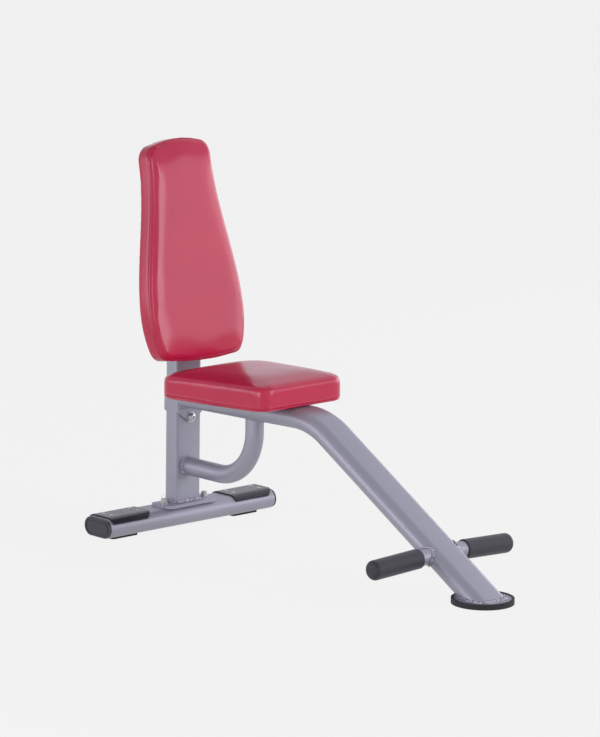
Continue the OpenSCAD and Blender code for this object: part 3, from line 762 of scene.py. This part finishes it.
class BENCH_OT_leg_tube(bpy.types.Operator):
    """Rail, knee and leg: one flat-oval tube swept round its bend"""
    bl_idname = "bench.leg_tube"
    bl_label = "Rail and leg tube"

    def execute(self, context):
        finish, pads, _ = settings()
        rise = pads.rail_rise
        along = Vector((math.cos(rise), 0, math.sin(rise)))
        across = Vector((-math.sin(rise), 0, math.cos(rise)))
        start = bench_point(RAIL_START, 0, RAIL_Z + RAIL_START * math.tan(rise))
        half_side = Matrix.Rotation(math.radians(180 / TUBE_SIDES), 4, "Z")
        bm = bmesh.new()
        bmesh.ops.create_circle(bm, segments=TUBE_SIDES, radius=TUBE_R * MM,
                                matrix=half_side)
        for v in bm.verts:
            v.co.x += math.copysign(TUBE_R * MM, v.co.x)
        ring = Matrix((Vector((0, 1, 0)), across, along)).transposed().to_4x4()
        bmesh.ops.transform(bm, verts=bm.verts,
                            matrix=Matrix.Translation(start) @ ring)
        edges = self.run(bm, bm.edges[:], along * RAIL_RUN * MM)
        knee = start + along * RAIL_RUN * MM - across * KNEE_R * MM
        res = bmesh.ops.spin(bm, geom=edges, cent=knee, axis=(0, 1, 0), dvec=(0, 0, 0),
                             angle=math.radians(KNEE_BEND), steps=36, use_merge=False)
        edges = [g for g in res["geom_last"] if isinstance(g, bmesh.types.BMEdge)]
        slope = math.radians(KNEE_BEND) - rise
        down = Vector((math.cos(slope), 0, -math.sin(slope)))
        self.run(bm, edges, down * LEG_RUN * MM)
        for place, way in ((bench_point(FLANGE_FRONT, 0, 0), (-1, 0, 0)),
                           (bench_point(0, 0, DISC_TOP), (0, 0, -1))):
            bmesh.ops.bisect_plane(bm, geom=bm.verts[:] + bm.edges[:] + bm.faces[:],
                                   dist=1e-7, plane_co=place, plane_no=way,
                                   clear_outer=True)
        bmesh.ops.holes_fill(bm, edges=[e for e in bm.edges if e.is_boundary])
        tube = finish_piece(bm, "rail_and_leg", paint_material("leg_enamel",
                                                               finish.paint[:]),
                            35)
        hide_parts("rail_leg_tube")
        return {"FINISHED"}

    @staticmethod
    def run(bm, edges, way):
        """A straight length of tube from a ring of edges; gives the far ring."""
        res = bmesh.ops.extrude_edge_only(bm, edges=edges)
        verts = [g for g in res["geom"] if isinstance(g, bmesh.types.BMVert)]
        bmesh.ops.translate(bm, verts=verts, vec=way)
        return [g for g in res["geom"] if isinstance(g, bmesh.types.BMEdge)
                and all(v in verts for v in g.verts)]


class BENCH_OT_backing_plate(bpy.types.Operator):
    """Backing plate behind the post, trimmed and with broken edges"""
    bl_idname = "bench.backing_plate"
    bl_label = "Backing plate"

    def execute(self, context):
        finish, _, _ = settings()
        bm = bmesh.new()
        bm.from_mesh(NODES["flange_backing_plate"].data)
        bmesh.ops.remove_doubles(bm, verts=bm.verts, dist=1e-6)
        half = max(v.co.y for v in bm.verts)
        bmesh.ops.scale(bm, vec=(1.0, (half - PLATE_TRIM * MM) / half, 1.0),
                        verts=bm.verts)
        plate = finish_piece(bm, "backing_plate", paint_material("plate_enamel",
                                                                 finish.paint[:]),
                             30)
        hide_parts("flange_backing_plate")
        return {"FINISHED"}


class BENCH_OT_welds(bpy.types.Operator):
    """Weld beads: lumpy runs of stacked ripples, with spatter round two of them"""
    bl_idname = "bench.welds"
    bl_label = "Welds"

    def execute(self, context):
        finish, _, _ = settings()
        material = weld_material("weld_enamel", finish.paint[:])
        for node, lump in (("post_base_weld", 1.9), ("flange_weld", 1.5),
                           ("brace_post_weld", 0.7), ("brace_rail_weld", 0.7),
                           ("peg_weld_left", 1.2), ("peg_weld_right", 1.2),
                           ("disc_weld", 1.2)):
            bm = bmesh.new()
            bm.from_mesh(NODES[node].data)
            bead = remeshed(bm, node + "_bead", 0.9 * MM)
            for v, n in [(v, v.normal.copy()) for v in bead.data.vertices]:
                coarse = noise_value(v.co / (3.4 * MM))
                fine = noise_value(v.co / (1.3 * MM) + Vector((7, 3, 5)))
                v.co += n * (lump * MM * (0.3 + 1.5 * coarse) + 0.6 * MM * fine)
            placed(bead, Matrix(), material)
            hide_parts(node)
        self.spatter_and_painted_glints("base_spatter", material, 46,
                     bench_point(POST_X, 0, PLATE_TOP), Matrix(), (52, 30), 20)
        self.spatter_and_painted_glints("flange_spatter", material, 40,
                     bench_point(FLANGE_FRONT, 0, FLANGE_Z),
                     Matrix.Rotation(math.radians(90), 4, "Y"), (34, 48), 9)
        return {"FINISHED"}

    @staticmethod
    def spatter_and_painted_glints(name, material, count, centre, turn, half, spread):
        """Small frozen drops round a weld, on the plate that it stands on."""
        drops = random.Random(len(name))
        bm = bmesh.new()
        for _ in range(count):
            a = drops.uniform(0, 2 * math.pi)
            out = drops.uniform(3, 3 + spread)
            radius = drops.uniform(0.5, 1.2) * MM
            spot = Vector((math.cos(a) * (half[0] + out), math.sin(a) * (half[1] + out),
                           0)) * MM
            bmesh.ops.create_icosphere(
                bm, subdivisions=2, radius=radius,
                matrix=Matrix.Translation(centre) @ turn @ Matrix.Translation(spot))
        finish_piece(bm, name, material)


class BENCH_OT_frame_finish(bpy.types.Operator):
    """Enamel, plating, rubber and plastic on the frame's own parts"""
    bl_idname = "bench.frame_finish"
    bl_label = "Frame finish"

    def execute(self, context):
        finish, _, _ = settings()
        paint = paint_material("frame_enamel", finish.paint[:])
        dress(("foot_tube", "post_base_plate", "post_tube", "rail_flange",
               "brace_tube",
               "seat_plate_rear", "seat_plate_front", "back_bracket_lower",
               "back_bracket_upper", "peg_left", "peg_right",
               "front_foot_disc"), paint)
        dress(("base_bolts", "base_washers", "flange_bolts", "flange_washers",
               "flange_nuts", "seat_bolts", "seat_tee_nuts", "back_bolts",
               "back_tee_nuts", "foot_nut_bar", "rear_pad_screws",
               "front_foot_screws", "cover_rivets_left", "cover_rivets_right"),
              zinc_material("zinc_plate", srgb(196, 192, 194)))
        dress(("foot_end_cap_left", "foot_end_cap_right", "post_top_cap"),
              plastic_material("moulded_plastic", finish.plastic[:]))
        dress(("anti_slip_cover_left", "anti_slip_cover_right"),
              plastic_material("anti_slip_plastic",
                               scaled(finish.plastic[:], 0.70), 0.20, 0.04, 0.38))
        dress(("rear_rubber_pad_left", "rear_rubber_pad_right",
               "front_rubber_cup"), rubber_material("foot_rubber",
                                                    finish.rubber[:]))
        dress(("peg_grip_left", "peg_grip_right"),
              foam_material("grip_foam", finish.grip[:]))
        dress(("seat_board",),
              plywood_material("plywood", srgb(176, 141, 95)))
        return {"FINISHED"}


# ------------------------------------------------------------ upholstery


def on_seat():
    """Frame of the seat's underside: x along the rail, z up."""
    _, pads, _ = settings()
    base = bench_point(SEAT_X, 0, RAIL_Z + SEAT_X * math.tan(pads.rail_rise))
    lift = Matrix.Translation((0, 0, SEAT_LIFT * MM))
    return Matrix.Translation(base) @ Matrix.Rotation(-pads.rail_rise, 4, "Y") @ lift


def on_back():
    """Frame of the back pad's rear face: x across, y up the pad, z forward.

    The pad is bolted on slightly askew, by the play in its bolt holes.
    """
    _, pads, _ = settings()
    askew, aside = math.radians(0.25), 1.4 * MM
    lean_z = PLATE_TOP + UPRIGHT + LEAN_R * math.tan(pads.recline / 2)
    lean = (Matrix.Translation(bench_point(POST_X, 0, lean_z))
            @ Matrix.Rotation(-pads.recline, 4, "Y")
            @ Matrix.Translation((BACK_REST * MM, aside, BACK_MID * MM)))
    turn = Matrix(((0, 0, 1, 0), (1, 0, 0, 0), (0, 1, 0, 0), (0, 0, 0, 1)))
    return lean @ turn @ Matrix.Rotation(askew, 4, "Z")


def back_half_width(v):
    """Half the back pad's width at height v above its lower edge, in mm."""
    if v < 128:
        return 161.2 - 0.0018 * (128 - v) ** 2
    t = max(0.0, min(1.0, (516.5 - v) / 388.5))
    return 106.6 + 54.6 * t * t * (3 - 2 * t)


class BENCH_OT_back_plywood(bpy.types.Operator):
    """Board of the back pad, trimmed to stay under the vinyl"""
    bl_idname = "bench.back_plywood"
    bl_label = "Back plywood"

    def execute(self, context):
        bm = bmesh.new()
        bm.from_mesh(NODES["back_board"].data)
        bmesh.ops.scale(bm, vec=(0.95, 0.965, 1.0), verts=bm.verts,
                        space=on_back().inverted())
        board = finish_piece(bm, "back_plywood",
                             plywood_material("back_veneer", srgb(176, 141, 95)),
                             30)
        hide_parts("back_board")
        return {"FINISHED"}


class BENCH_OT_seat_pad(bpy.types.Operator):
    """Seat pad: vinyl pulled over foam, with a seam low on its sides"""
    bl_idname = "bench.seat_pad"
    bl_label = "Seat pad"

    def execute(self, context):
        finish, pads, _ = settings()
        bm = bmesh.new()
        front, rear, half = SEAT_FRONT * MM, SEAT_REAR * MM, SEAT_HALF * MM
        face = rounded_outline(bm, [(half, -front), (half, front),
                                    (-half, rear), (-half, -rear)],
                               [40 * MM, 40 * MM, 42 * MM, 42 * MM], 14)
        levels = [(5, -0.8), (2.2, 0.8), (0.6, 3.2), (0, 6.5), (0, 49), (0.6, 52.4),
                  (2.2, 55.6), (5, 58.4), (9, 60.8), (15, 63.0), (24, 65.4),
                  (38, 67.8), (60, 70.6), (92, 72.8), (142, 73.8)]
        pad_levels(bm, [face], half, rear,
                   [(a * MM, b * MM) for a, b in levels])
        obj = remeshed(bm, "seat_upholstery", pads.voxel)
        swollen(obj, 46 * MM, pads.pressure, 2 * MM)
        flattened(obj, 62 * MM, 24 * MM, lambda p: half)
        self.drop_corners(obj.data, half, front, rear)
        refined(obj)
        bm = bmesh.new()
        bm.from_mesh(obj.data)
        seam_line(bm, 4.5 * MM, 5.5 * MM,
                  tucked(pads.seam_depth, pads.seam_lip, -1))
        bm.to_mesh(obj.data)
        bm.free()
        placed(obj, on_seat(), vinyl_material("seat_vinyl", finish.vinyl[:]))
        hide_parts("seat_cushion")
        return {"FINISHED"}

    @staticmethod
    def drop_corners(mesh, half, front, rear):
        """The foam sinks at the top's corners, and the pad sits low at the rear."""
        for v in mesh.vertices:
            t = (v.co.x + half) / (2 * half)
            side = rear + (front - rear) * t
            k = (abs(v.co.x) / half) ** 4 * (abs(v.co.y) / side) ** 4
            up = min(1.0, max(0.0, v.co.z) / (61 * MM))
            v.co.z -= 5 * MM * k * up ** 2
            low, high = (4 * t - 5.5) * MM, (8 * t - 4) * MM
            v.co.z += low + (high - low) * up


class BENCH_OT_back_pad(bpy.types.Operator):
    """Back pad: a tall tapering cushion with a boxing seam round its front"""
    bl_idname = "bench.back_pad"
    bl_label = "Back pad"

    def execute(self, context):
        finish, pads, _ = settings()
        bm = bmesh.new()
        bmesh.ops.create_grid(bm, x_segments=12, y_segments=110, size=1.0)
        self.shape_outline(bm)
        levels = [(4, -0.8), (1.4, 1.0), (0.3, 3.5), (0, 7), (0, 44), (0.8, 47.8),
                  (2.6, 51), (5.6, 53.8), (10, 56.2), (16, 58.0), (24, 59.2),
                  (34, 59.9), (54, 60.3), (98, 60.5)]
        pad_levels(bm, bm.faces[:], 159 * MM, 289 * MM,
                   [(a * MM, b * MM) for a, b in levels])
        obj = remeshed(bm, "back_upholstery", pads.voxel)
        swollen(obj, 41 * MM, pads.pressure, 2.5 * MM)
        flattened(obj, 55 * MM, 20 * MM,
                  lambda p: back_half_width(p.y / MM + BACK_L / 2) * MM)
        refined(obj)
        bm = bmesh.new()
        bm.from_mesh(obj.data)
        seam_line(bm, 44.5 * MM, 7 * MM,
                  welted(pads.seam_depth, 2.0 * pads.seam_lip))
        bm.to_mesh(obj.data)
        bm.free()
        placed(obj, on_back(), vinyl_material("back_vinyl", finish.vinyl[:]))
        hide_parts("back_cushion")
        return {"FINISHED"}

    @staticmethod
    def shape_outline(bm):
        """Draws a unit grid out to the pad's outline, bowed at both ends."""
        foot, foot_bow, foot_power = 39.5, 6.6, 3.8
        corner, arch, slant = 39.0, 9.5, 2.4
        run = BACK_L - foot_bow - arch
        for v in bm.verts:
            t = (v.co.y + 1) / 2
            h = run * (0.25 * t + 0.375 * (1 - math.cos(math.pi * t)))
            half = back_half_width(h + foot_bow) - 0.5
            if h < foot:
                half -= foot * (1 - (1 - (1 - h / foot) ** foot_power)
                                ** (1 / foot_power))
            if run - h < corner:
                over = corner - (run - h)
                half += max(0.0, corner ** 2 - over ** 2) ** 0.5 - corner
            bow = 1 - v.co.x ** 2
            h += (foot_bow + arch * bow * t ** 8
                  - (foot_bow * bow + slant * v.co.x) * (1 - t) ** 8)
            v.co.x *= half * MM
            v.co.y = (h - BACK_L / 2) * MM


CLASSES = (BenchFinishSettings, BenchPadSettings, BenchStageSettings,
           BENCH_OT_stage, BENCH_OT_frame_finish, BENCH_OT_leg_tube,
           BENCH_OT_backing_plate, BENCH_OT_welds, BENCH_OT_back_plywood,
           BENCH_OT_seat_pad, BENCH_OT_back_pad)
STEPS = ("stage", "frame_finish", "leg_tube", "backing_plate", "welds",
         "back_plywood", "seat_pad", "back_pad")


class BENCH_PT_panel(bpy.types.Panel):
    """Lists the bench's settings and pieces"""
    bl_idname = "BENCH_PT_panel"
    bl_label = "Upright Utility Bench"
    bl_space_type = "VIEW_3D"
    bl_region_type = "UI"
    bl_category = "Bench"

    def draw(self, context):
        for group in settings():
            box = self.layout.box()
            for key in group.__annotations__:
                box.prop(group, key)
        for step in STEPS:
            self.layout.operator("bench." + step)


def register():
    for cls in CLASSES + (BENCH_PT_panel,):
        bpy.utils.register_class(cls)
    scene = bpy.types.Scene
    scene.bench_finish = bpy.props.PointerProperty(type=BenchFinishSettings)
    scene.bench_pads = bpy.props.PointerProperty(type=BenchPadSettings)
    scene.bench_stage = bpy.props.PointerProperty(type=BenchStageSettings)


def unregister():
    del bpy.types.Scene.bench_finish
    del bpy.types.Scene.bench_pads
    del bpy.types.Scene.bench_stage
    for cls in reversed(CLASSES + (BENCH_PT_panel,)):
        bpy.utils.unregister_class(cls)


def main():
    register()
    for step in STEPS:
        getattr(bpy.ops.bench, step)()


if __name__ == "__main__":
    main()
